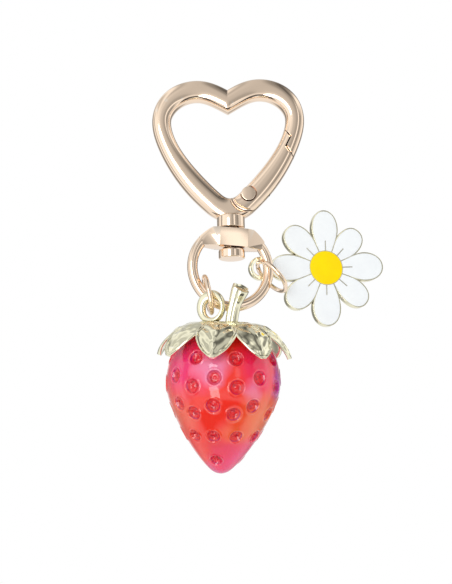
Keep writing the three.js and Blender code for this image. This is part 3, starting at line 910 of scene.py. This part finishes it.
def swivel_bridge():
    """The block across the ring: a slice of the ring's disc, tapered in plan, with small bevels."""
    flat, end, depth, cheek = BRIDGE["flat"], BRIDGE["end"], BRIDGE["half_depth"], BRIDGE_CHEEK
    plan = [
        (-flat, -depth), (flat, -depth), (end, -cheek), (end, cheek),
        (flat, depth), (-flat, depth), (-end, cheek), (-end, -cheek),
    ]
    block = skin([[(x, y, z) for x, y in plan] for z in (BRIDGE["bottom"], BRIDGE["top"])])
    common(block, slab(circle(0, RING["centre"], RING["radius"] + RING["wire"], 192), -BEYOND, BEYOND))
    work = bmesh.new()
    work.from_mesh(block.data)
    bmesh.ops.dissolve_limit(work, angle_limit=radians(0.5), verts=work.verts, edges=work.edges)
    work.to_mesh(block.data)
    work.free()
    edge = block.modifiers.new("edge", "BEVEL")
    edge.width = BRIDGE_BEVEL
    edge.segments = 3
    edge.limit_method = "ANGLE"
    edge.angle_limit = radians(20)
    return bake(block)


def swivel_hoop():
    """The ring with its bridge, cut level across the top and bored for the stud."""
    radius = RING["radius"]
    points = []
    directions = []
    for angle in full_turn(192):
        points.append(Vector((radius * cos(angle), 0, RING["centre"] + radius * sin(angle))))
        directions.append(Vector((-sin(angle), 0, cos(angle))))
    hoop = tube(points, directions, Vector((0, 1, 0)), RING["wire"], 48, closed=True)
    join(hoop, swivel_bridge())
    corners = ((-BEYOND, -BEYOND), (BEYOND, -BEYOND), (BEYOND, BEYOND), (-BEYOND, BEYOND))
    above = skin([[(x, y, z) for x, y in corners] for z in (BRIDGE["top"], BEYOND)])
    return cut(hoop, above, rod(BRIDGE["bore"], BRIDGE["bottom"] - OVERRUN, BRIDGE["top"] + OVERRUN))


# ---------- Jump rings ----------


def jump_ring(link):
    """A bent wire whose ends meet at the split, an angle in degrees from its long way."""
    along = Vector((link["along"][0], 0, link["along"][1])).normalized()
    sideways = Vector((-along.z, 0, along.x))
    forward = (Vector((0, -1, 0)) + sideways * link["lean"]).normalized()
    axis = along.cross(forward)
    count = 120
    rings = []
    for i in range(count + 1):
        angle = radians(link["split"] + LINK_GAP + (360 - 2 * LINK_GAP) * i / count)
        outward = along * cos(angle) + forward * sin(angle)
        end = min(i, count - i)
        radius = link["wire"] * (LINK_ENDS[end] if end < len(LINK_ENDS) else 1)
        centre = Vector(link["centre"]) + outward * link["radius"]
        rings.append([centre + (outward * cos(a) + axis * sin(a)) * radius for a in full_turn(32)])
    return skin(rings)


# ---------- Strawberry ----------


def berry_place():
    return Matrix.Translation(BERRY["place"]) @ rotation(BERRY["pitch"], "X") @ rotation(BERRY["lean"], "Y")


def pit_azimuths(count, front):
    """The front pits as given, and the rest spread evenly round the back."""
    span = front[-1] - front[0]
    rest = count - len(front)
    step = (360 - span) / (rest + 1)
    return [*front, *(front[-1] + step * (i + 1) for i in range(rest))]


def berry_outline(steps=110):
    """The outer profile from the shoulder to the tip, as radius, height and outward normal."""
    start = (BERRY["shoulder"], BERRY["top"])
    stations = chain(start, BERRY_STRETCHES, steps)
    return [(place.x, place.y, -direction.y, direction.x) for place, direction in stations]


def berry_radius(height):
    return min(berry_outline(40), key=lambda station: abs(station[1] - height))[0]


def round_grid(radii, heights, ways):
    """Rings of points at each radius and height, one point for each way round."""
    level = np.broadcast_to(heights[:, None, None], (len(radii), len(ways), 1))
    return np.concatenate([radii[:, None, None] * ways[None], level], axis=2)


def sink_pits(points, radii, heights):
    """How deep each point lies under the pits' lips, and how far it is in a pit or, below zero, on a lip."""
    sink = np.full(points.shape[:2], PIT_LIP["rise"])
    hollow = np.zeros(points.shape[:2])
    for height, count, front in PIT_ROWS:
        nearest = int(np.argmin(np.abs(heights - height)))
        radius = radii[nearest]
        size = PIT["radius"] + PIT["spread"] * radius
        for azimuth in pit_azimuths(count, front):
            turn = radians(azimuth)
            centre = np.array([radius * sin(turn), -radius * cos(turn), heights[nearest]])
            away = np.linalg.norm(points - centre, axis=2) / size
            bowl = np.clip(1 - away**3, 0, 1)
            seed = PIT["seed_rise"] * np.exp(-((away * size / PIT["seed"]) ** 2))
            lip = np.exp(-(((away - PIT_LIP["place"]) / PIT_LIP["width"]) ** 2))
            sink += PIT["depth"] * bowl - seed - PIT_LIP["rise"] * lip
            hollow += bowl - 0.5 * lip
    return sink, hollow


def berry_fruit():
    """The fruit with its seed pits sunk into a fine grid, and the peg's hole down its middle."""
    columns = 480
    radii, heights, out, up = np.array(berry_outline()).T
    angles = np.arange(columns) * 2 * pi / columns
    ways = np.stack([np.sin(angles), -np.cos(angles)], axis=1)
    points = round_grid(radii, heights, ways)
    sink, hollow = sink_pits(points, radii, heights)
    points = points - round_grid(out, up, ways) * sink[:, :, None]
    inner = [(0, PEG["hole_bottom"]), (PEG["hole"], PEG["hole_bottom"]), (PEG["hole"], BERRY["top"])]
    rows = [[(radius * x, radius * y, z) for x, y in ways] for radius, z in inner]
    rows += points.tolist()
    fruit = solid([point for ring in rows for point in ring], strips(len(rows), columns), merge=False)
    depth = fruit.data.attributes.new("pit", "FLOAT", "POINT")
    depth.data.foreach_set("value", np.concatenate([np.zeros(len(inner) * columns), hollow.ravel()]))
    return fruit


def peg_pin():
    """The threaded steel pin that holds the cap in the fruit."""
    root = PEG["radius"] - THREAD["root"]
    pitch = (PEG["top"] - PEG["bottom"] - 2 * THREAD["end"]) / THREAD["count"]
    profile = [(0, PEG["bottom"]), (PEG["radius"] - THREAD["point"], PEG["bottom"])]
    for i in range(THREAD["count"]):
        low = PEG["bottom"] + THREAD["end"] + i * pitch
        profile += [(root, low), (PEG["radius"], low + 0.4 * pitch), (PEG["radius"], low + 0.6 * pitch)]
    profile += [(root, PEG["top"]), (0, PEG["top"])]
    return turned(profile, 64)


# ---------- Cap ----------


def sepal_half(t):
    """Half of a sepal's width, from its root at 0 to its tip at 1."""
    base = SEPAL["root"] + SEPAL["swell"] * smoothstep(t, 0, 0.4)
    past = max(0.0, t - SEPAL["widest"]) / SEPAL["taper"]
    return base * (1 - past**1.8) ** 0.85 + SEPAL["edge"]


def catmull(points, t):
    """Point and direction on a smooth line through points."""
    count = len(points) - 1
    position = min(t * count, count - 1e-6)
    index = int(position)
    share = position - index
    places = [Vector(point) for point in points]
    padded = [places[0] * 2 - places[1], *places, places[-1] * 2 - places[-2]]
    a, b, c, d = padded[index:index + 4]
    slope = c - a
    bend = a * 2 - b * 5 + c * 4 - d
    twist = b * 3 - a - c * 3 + d
    place = 0.5 * (b * 2 + slope * share + bend * share**2 + twist * share**3)
    pull = 0.5 * (slope + bend * (2 * share) + twist * (3 * share**2))
    return place, pull.normalized()


def sepal_relief(t, across, half, number):
    """How far the top of a sepal lies below its raised rim: folded facets, with a rib down the middle."""
    from_side = half - abs(across)
    from_tip = (1 - t) * SEPAL["length"]
    inside = smoothstep(from_side, 0.3, 0.75) * smoothstep(from_tip, 0.7, 1.5) * smoothstep(t, 0.16, 0.34)
    rib = RELIEF["rib"] * exp(-((across / RELIEF["rib_half"]) ** 2))
    slanted = (abs(across) * 0.42 + t * 4.2 + 0.37 * number) % 1.0
    veins = RELIEF["veins"] * abs(2 * slanted - 1)
    creases = RELIEF["creases"] * noise.noise(Vector((8 * t, 0.7 * across, 3.7 * number)))
    step = RELIEF["step"] * (1 - smoothstep(t, 0.08, 0.16))
    return (rib + veins + creases - RELIEF["sunk"]) * inside - step


def sepal(number):
    rings = []
    steps = 72
    rise = CAP["thickness"] / 2
    for i in range(steps + 1):
        t = i / steps
        centre, direction = catmull(SEPAL_LINE, t)
        lift = Vector((-direction.y, 0, direction.x))
        half = sepal_half(t)
        droop = SEPAL["droop"] * smoothstep(t, 0.05, 0.3)
        ring = []
        for angle in full_turn(72):
            across = half * cos(angle)
            edge = (1 - abs(cos(angle)) ** 5) ** 0.5
            height = rise * copysign(edge, sin(angle)) - droop * across**2
            if sin(angle) > 0:
                height += sepal_relief(t, across, half, number)
            ring.append(Vector((centre.x, across, centre.y)) + lift * height)
        rings.append(ring)
    return move(skin(rings), rotation(CAP["first"] + number * 360 / CAP["sepals"] - 90, "Z"))


def hub_profile():
    """The hub's side and top as closely spaced points."""
    radius, bottom, top = CAP["hub"], CAP["hub_bottom"], CAP["hub_top"]
    corners = [
        (HAIR, bottom), (radius, bottom), (radius, top - HUB["edge"]),
        (radius - HUB["rim"], top), (radius - HUB["flat"], top), (HAIR, top),
    ]
    profile = soften(corners, HUB["rounding"], 6)
    dense = []
    for a, b in zip(profile, profile[1:]):
        parts = max(1, int((b - a).length / HUB["spacing"]))
        dense += [a.lerp(b, i / parts) for i in range(parts)]
    return [*dense, profile[-1]]


def hub():
    """The middle of the cap, with a crumpled top."""
    rings = []
    for radius, z in hub_profile():
        ring = []
        for angle in full_turn(128):
            x, y = radius * cos(angle), radius * sin(angle)
            crumple = 0.0
            if z > CAP["hub_top"] - CRUMPLE["below"]:
                place = Vector((CRUMPLE["scale"] * x, CRUMPLE["scale"] * y, CRUMPLE["seed"]))
                crumple = CRUMPLE["depth"] * noise.noise(place)
            ring.append((x, y, z + min(CRUMPLE["most"], crumple)))
        rings.append(ring)
    return skin(rings)


def fluted(angle):
    """The share of the stem's radius that its grooves leave at an angle in radians."""
    width = STEM["flute_width"]
    grooves = sum(exp(-((degrees(angle) - place) / width) ** 2) for place in STEM_GROOVES)
    return 1 - STEM["flute"] * grooves


def stem_solid():
    """The stem: a fluted stalk that flares to a hollow cut end, slanted towards the front."""
    base, middle, tip = (Vector(STEM[key]) for key in ("base", "middle", "tip"))
    side = Vector((0, 1, 0))
    rings = []
    steps = 56
    for i in range(steps + 1):
        t = i / steps
        centre = base * (1 - t) ** 2 + middle * (2 * t * (1 - t)) + tip * t * t
        direction = ((middle - base) * (1 - t) + (tip - middle) * t).normalized()
        across = direction.cross(side)
        radius = STEM["radius"] + (STEM["flare"] - STEM["radius"]) * smoothstep(t, 0.45, 1)
        slant = STEM["slant"] * smoothstep(t, 0.6, 1)
        ring = []
        for angle in full_turn(96):
            reach = radius * fluted(angle)
            back = STEM["depth"] * reach * cos(angle)
            point = centre + side * back + across * (reach * sin(angle))
            ring.append(point + direction * (slant * back))
        rings.append(ring)
    last = rings[-1]
    for share, depth in STEM_END:
        rings.append([tip + (point - tip) * share + direction * depth for point in last])
    return skin(rings)


def oval_point(centre, reach, angle):
    return Vector((centre[0] + reach[0] * cos(angle), centre[1] + reach[1] * sin(angle)))


def loop_solid():
    """The hanging loop: an uneven round-edged ring."""
    rings = []
    for angle in full_turn(96):
        outer = oval_point((0, 0), LOOP["outer"], angle)
        hole = oval_point(LOOP["hole_at"], LOOP["hole"], angle)
        centre = (outer + hole) / 2
        reach = (outer - hole) / 2
        ring = []
        for a in full_turn(32):
            bent = centre + reach * bulge(cos(a))
            ring.append((bent.x, LOOP["half_depth"] * bulge(sin(a)), bent.y))
        rings.append(ring)
    pivot = Vector((LOOP["hole_at"][0], 0, LOOP["hole_at"][1]))
    about_pivot = Matrix.Translation(pivot) @ rotation(-BERRY["pitch"], "X") @ Matrix.Translation(-pivot)
    place = Matrix.Translation(LOOP["centre"]) @ about_pivot @ rotation(LOOP["turn"], "Z")
    return move(skin(rings, closed=True), place)


def calyx_cap():
    sepals = [sepal(number) for number in range(CAP["sepals"])]
    piece = join(hub(), *sepals, stem_solid(), loop_solid())
    return cut(piece, rod(PEG["hole"], PEG["cap_hole_bottom"], PEG["top"] + CLEARANCE))


# ---------- Daisy ----------


def daisy_place():
    return Matrix.Translation(DAISY["place"]) @ rotation(DAISY["turn"], "Z")


def flat_turn(points, angle):
    """Flat points turned about the flower's centre."""
    along, across = cos(radians(angle)), sin(radians(angle))
    return [(x * along - z * across, x * across + z * along) for x, z in points]


def petal_outline(petal, inset):
    """One petal in its place, kept to its share of the ring and drawn smaller outside it by the inset."""
    angle, length, half = petal
    number = PETALS.index(petal)
    shares = (angle - PETALS[(number + 1) % len(PETALS)][0], PETALS[number - 1][0] - angle)
    right, left = (tan(radians(share % 360) / 2) for share in shares)
    reach, pull = PETAL_BASE["reach"], PETAL_BASE["pull"]
    base_right, base_left = (reach * slope - PETAL_BASE["line"] for slope in (right, left))
    tip = length - inset
    side = half - inset
    widest = PETAL_SIDE["widest"] * length
    before, after = widest - PETAL_SIDE["inner_pull"], widest + PETAL_SIDE["outer_pull"]
    shoulder = PETAL_SIDE["tip"] * side
    stretches = (
        ((reach + pull, -base_right - pull * right), (before, -side), (widest, -side)),
        ((after, -side), (tip, -shoulder), (tip, 0)),
        ((tip, shoulder), (after, side), (widest, side)),
        ((before, side), (reach + pull, base_left + pull * left), (reach, base_left)),
    )
    stations = chain((reach, -base_right), stretches, 14)
    return flat_turn([place for place, _ in stations], angle)


def inset_outline(outline, inset):
    """A small even inset of a smooth outline that runs anticlockwise."""
    points = [Vector(point) for point in outline]
    count = len(points)
    moved = []
    for i, point in enumerate(points):
        along = (points[(i + 1) % count] - points[i - 1]).normalized()
        moved.append(point + Vector((-along.y, along.x)) * inset)
    return moved


def rounded_slab(outline, front, back, rounding):
    """A slab whose long edges are rounded."""
    steps = 4
    rings = []
    for y, way in ((front, 1), (back, -1)):
        edge = []
        for i in range(steps + 1):
            angle = pi / 2 * i / steps
            inset = rounding * (1 - sin(angle))
            depth = y + way * rounding * (1 - cos(angle))
            edge.append([(p[0], depth, p[1]) for p in inset_outline(outline, inset)])
        rings += edge if way > 0 else edge[::-1]
    return skin(rings)

def petal_vein(petal, grow):
    """The short raised line that runs up the middle of a petal from the flower's centre."""
    half = VEIN["half"] + grow
    start, end = VEIN["start"], VEIN["end"] + grow
    outline = flat_turn([(start, -half), (end, -half), (end, half), (start, half)], petal[0])
    front = -DAISY["half"] - VEIN["proud"] - grow
    return slab(outline, front, -DAISY["half"] + DAISY["pocket"] + DISC["overlap"] + grow)


def pocket_tool(outline):
    """Cuts a pocket for enamel into the plate's front."""
    return slab(outline, -DAISY["half"] - DAISY_CUT["front"], -DAISY["half"] + DAISY["pocket"])


def through_tool(outline):
    """Cuts right through the plate or a fill."""
    return slab(outline, -DAISY_CUT["through"], DAISY_CUT["through"])


def daisy_plate():
    """The stamped plate: eyelet, petals and web, with a pocket for each fill, a ring and raised lines."""
    front, back = -DAISY["half"], DAISY["half"]
    x, z = EYELET["centre"]
    piece = rounded_slab(circle(x, z, EYELET["outer"], 96), front, back, EYELET["rounding"])
    for petal in PETALS:
        join(piece, rounded_slab(petal_outline(petal, 0), front, back, DAISY["rounding"]))
    web = circle(0, 0, WEB["radius"], 128)
    join(piece, rounded_slab(web, front + WEB["sunk"], back - HAIR, WEB["rounding"]))
    cut(piece, through_tool(circle(x, z, EYELET["hole"], 64)))
    for petal in PETALS:
        cut(piece, pocket_tool(petal_outline(petal, DAISY["rim"])))
    ring = circle(0, 0, DISC["enamel"] + DISC["ring"], 128)
    join(piece, slab(ring, front + DISC["ring_sunk"], front + DAISY["pocket"] + DISC["overlap"]))
    join(piece, *(petal_vein(petal, 0) for petal in VEINED_PETALS))
    return cut(piece, pocket_tool(circle(0, 0, DISC["enamel"], 96)))


def enamel_fill(outline, rise):
    """Enamel in a pocket: flat behind, and gently domed in front."""
    front, back = -DAISY["half"], -DAISY["half"] + DAISY["pocket"] - CLEARANCE
    points = [Vector(point) for point in outline]
    centre = sum(points, Vector((0, 0))) / len(points)
    rings = [[(p.x, back, p.y) for p in points]]
    for share in FILL_RINGS:
        height = front + FILL_SUNK - rise * (1 - share**6)
        rings.append([(q.x, height, q.y) for q in (centre + (p - centre) * share for p in points)])
    return skin(rings)


def petal_fill(petal):
    """One petal's enamel, cut to fit round the middle's metal ring and the petal's raised line."""
    fill = enamel_fill(petal_outline(petal, DAISY["rim"] - HAIR), FILL_RISE["petal"])
    cut(fill, through_tool(circle(0, 0, DISC["enamel"] + DISC["ring"] - HAIR, 128)))
    if petal in VEINED_PETALS:
        cut(fill, petal_vein(petal, HAIR))
    return fill


# ---------- Assembly ----------


def make_clasp(rose_gold, steel):
    bar = heart_bar()
    hang(heart_frame(bar), "clasp_heart", "clasp", rose_gold, ["heart_frame"])
    hang(gate_arm(bar), "clasp_gate", "gate", rose_gold, ["gate"])
    bpy.data.objects.remove(bar)
    hang(rivet_pin(), "clasp_rivet", "clasp", rose_gold, ["gate_rivet"])
    hang(spring_coil(), "gate_coil", "gate", steel, ["gate_spring"])
    hang(stud_pin(), "clasp_stud", "clasp", rose_gold, ["swivel_stud"])


def make_links(rose_gold):
    place = swivel_place()
    hang(swivel_hoop(), "swivel_hoop", "swivel", rose_gold, ["swivel_ring"], place)
    link = jump_ring(CHARM_LINK)
    hang(link, "charm_link_wire", "charm_link", rose_gold, ["charm_jump_ring"])
    link = jump_ring(DAISY_LINK)
    hang(link, "daisy_link_wire", "daisy_link", rose_gold, ["daisy_jump_ring"])


def make_strawberry(pale_gold, steel):
    place = berry_place()
    hang(calyx_cap(), "cap_casting", "strawberry", pale_gold, ["calyx_cap"], place)
    hang(peg_pin(), "cap_screw", "strawberry", steel, ["cap_peg"], place)
    fruit, acrylic = berry_fruit(), berry_acrylic()
    hang(fruit, "berry_fruit", "strawberry", acrylic, ["strawberry_body"], place, 180)


def make_daisy(pale_gold):
    place = daisy_place()
    white = enamel("white_enamel", **WHITE_ENAMEL)
    yellow = enamel("yellow_enamel", **YELLOW_ENAMEL)
    hang(daisy_plate(), "flower_plate", "daisy", pale_gold, ["daisy_plate"], place)
    for number, petal in enumerate(PETALS, 1):
        name = f"petal_white_{number}"
        hang(petal_fill(petal), name, "daisy", white, [f"petal_enamel_{number}"], place)
    middle = enamel_fill(circle(0, 0, DISC["enamel"] + HAIR, 96), FILL_RISE["centre"])
    hang(middle, "flower_centre", "daisy", yellow, ["centre_enamel"], place)


scene.view_settings.view_transform = "Standard"
place_camera()
studio_world()
window_light()
pale_floor()
rose_gold = plated_metal("rose_gold_plate", **ROSE_GOLD)
pale_gold = plated_metal("pale_gold_plate", **PALE_GOLD)
steel = wire_steel()
make_clasp(rose_gold, steel)
make_links(rose_gold)
make_strawberry(pale_gold, steel)
make_daisy(pale_gold)
